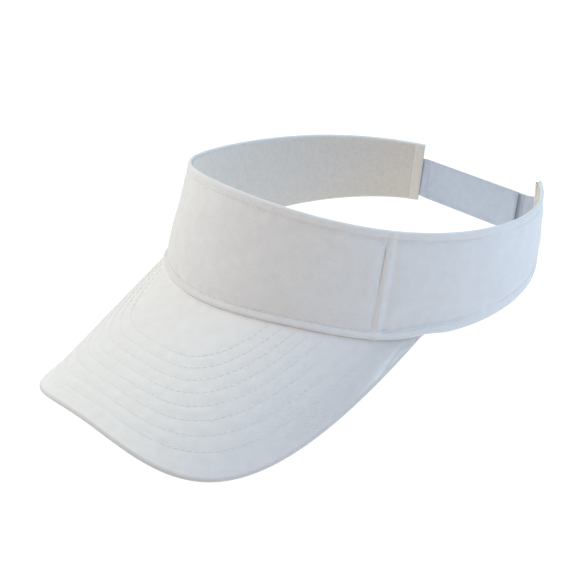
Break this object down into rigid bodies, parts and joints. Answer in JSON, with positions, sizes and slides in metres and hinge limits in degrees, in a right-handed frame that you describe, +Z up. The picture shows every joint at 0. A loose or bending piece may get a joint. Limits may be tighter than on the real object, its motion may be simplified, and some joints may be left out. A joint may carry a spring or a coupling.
{
  "type": "sun visor",
  "caption": "Cotton twill sun visor: arched stiffened bill, seamed open-topped band with a rolled edge, and a hook-and-loop strap closing the back.",
  "frame": {"origin": "on the resting surface, below the middle of the whole visor's box, as it lies on the low edges of its bill and the ends of its band", "axes": "+Z up, -Y towards the front of the bill, +X towards the wearer's left; the band is pitched back 20.3 degrees as the visor lies"},
  "size_m": [0.1798, 0.2713, 0.0981],
  "materials": {
    "twill": "white cotton twill, matt",
    "under_twill": "white cotton twill, matt",
    "lining": "brushed white cotton, matt",
    "thread": "white sewing thread",
    "buckram": "stiff white open-weave interlining",
    "board": "white polyethylene sheet",
    "strap_tape": "white woven tape",
    "loop_pile": "white looped pile",
    "hook_tape": "white nylon hooks"
  },
  "bodies": {
    "crown": {"bill_board": "board", "bill_edge_welt": "twill", "bill_seam_allowance": "twill", "bill_stitching": "thread", "bill_top_cover": "twill", "bill_under_cover": "under_twill", "crown_bottom_binding": "twill", "crown_lining": "lining", "crown_top_binding": "twill", "crown_top_stitching": "thread", "front_buckram": "buckram", "front_panel": "twill", "left_seam_stitching": "thread", "left_seam_tape": "twill", "left_side_panel": "twill", "right_seam_stitching": "thread", "right_seam_tape": "twill", "right_side_panel": "twill"},
    "left_wing": {"left_end_hem": "lining", "left_hem_stitching": "thread", "left_wing_bottom_binding": "twill", "left_wing_lining": "lining", "left_wing_panel": "twill", "left_wing_top_binding": "twill", "left_wing_top_stitching": "thread", "outer_strap_root": "strap_tape"},
    "right_wing": {"inner_strap_root": "strap_tape", "right_end_hem": "lining", "right_hem_stitching": "thread", "right_wing_bottom_binding": "twill", "right_wing_lining": "lining", "right_wing_panel": "twill", "right_wing_top_binding": "twill", "right_wing_top_stitching": "thread"},
    "inner_strap": {"inner_strap": "strap_tape", "inner_strap_stitching": "thread", "loop_patch": "loop_pile"},
    "outer_strap_base": {"outer_strap_base": "strap_tape"},
    "outer_strap_tongue": {"hook_patch": "hook_tape", "outer_strap_stitching": "thread", "outer_strap_tongue": "strap_tape"}
  },
  "joints": [
    {"name": "left_wing_flex", "type": "hinge", "parent": "crown", "child": "left_wing", "pos_m": [0.08636, 0.0486, 0.03758], "axis": [0, 0, -1], "range_deg": [0, 14]},
    {"name": "right_wing_flex", "type": "hinge", "parent": "crown", "child": "right_wing", "pos_m": [-0.08636, 0.0486, 0.03758], "axis": [0, 0, 1], "range_deg": [0, 14]},
    {"name": "outer_strap_turn", "type": "hinge", "parent": "left_wing", "child": "outer_strap_base", "pos_m": [0.0412, 0.12949, 0.01416], "axis": [0, 0, 1], "range_deg": [0, 14]},
    {"name": "inner_strap_turn", "type": "hinge", "parent": "right_wing", "child": "inner_strap", "pos_m": [-0.0412, 0.12949, 0.01416], "axis": [0, 0, -1], "range_deg": [0, 14]},
    {"name": "strap_peel", "type": "hinge", "parent": "outer_strap_base", "child": "outer_strap_tongue", "pos_m": [0.0338, 0.13137, 0.01261], "axis": [0, -0.3469, -0.9379], "range_deg": [0, 110]}
  ],
  "couplings": [
    {"joint": "right_wing_flex", "follows": "left_wing_flex", "ratio": 1},
    {"joint": "outer_strap_turn", "follows": "left_wing_flex", "ratio": 1},
    {"joint": "inner_strap_turn", "follows": "left_wing_flex", "ratio": 1}
  ]
}
